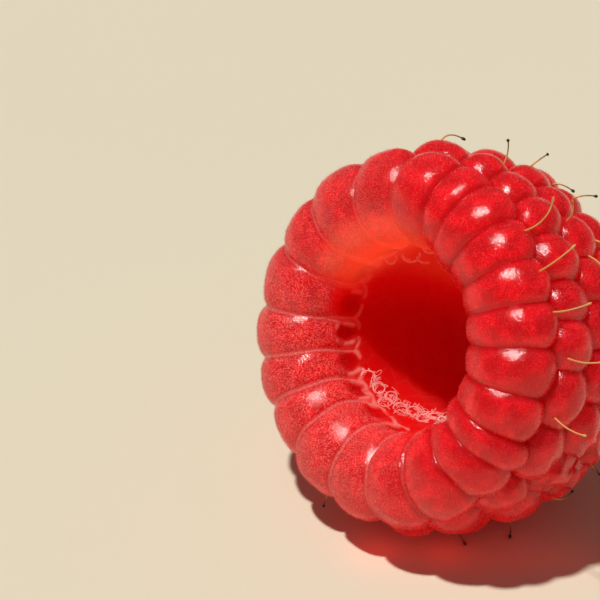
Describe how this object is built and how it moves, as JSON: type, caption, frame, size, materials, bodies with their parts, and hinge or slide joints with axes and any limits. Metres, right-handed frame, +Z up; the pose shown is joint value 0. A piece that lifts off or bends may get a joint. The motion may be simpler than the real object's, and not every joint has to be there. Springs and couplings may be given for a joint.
{
  "type": "raspberry",
  "caption": "Ripe raspberry lying on its side, a hollow cup of joined drupelets with a fat rim round its open mouth.",
  "frame": {"origin": "middle of the berry's box, on the surface that it lies on", "axes": "+Z up from the surface, -Y towards the side that the hollow mouth faces, +X to the right as seen into the mouth"},
  "size_m": [0.0224, 0.02, 0.022],
  "materials": {
    "flesh": null
  },
  "bodies": {
    "root": {"raspberry": "flesh"}
  },
  "joints": []
}
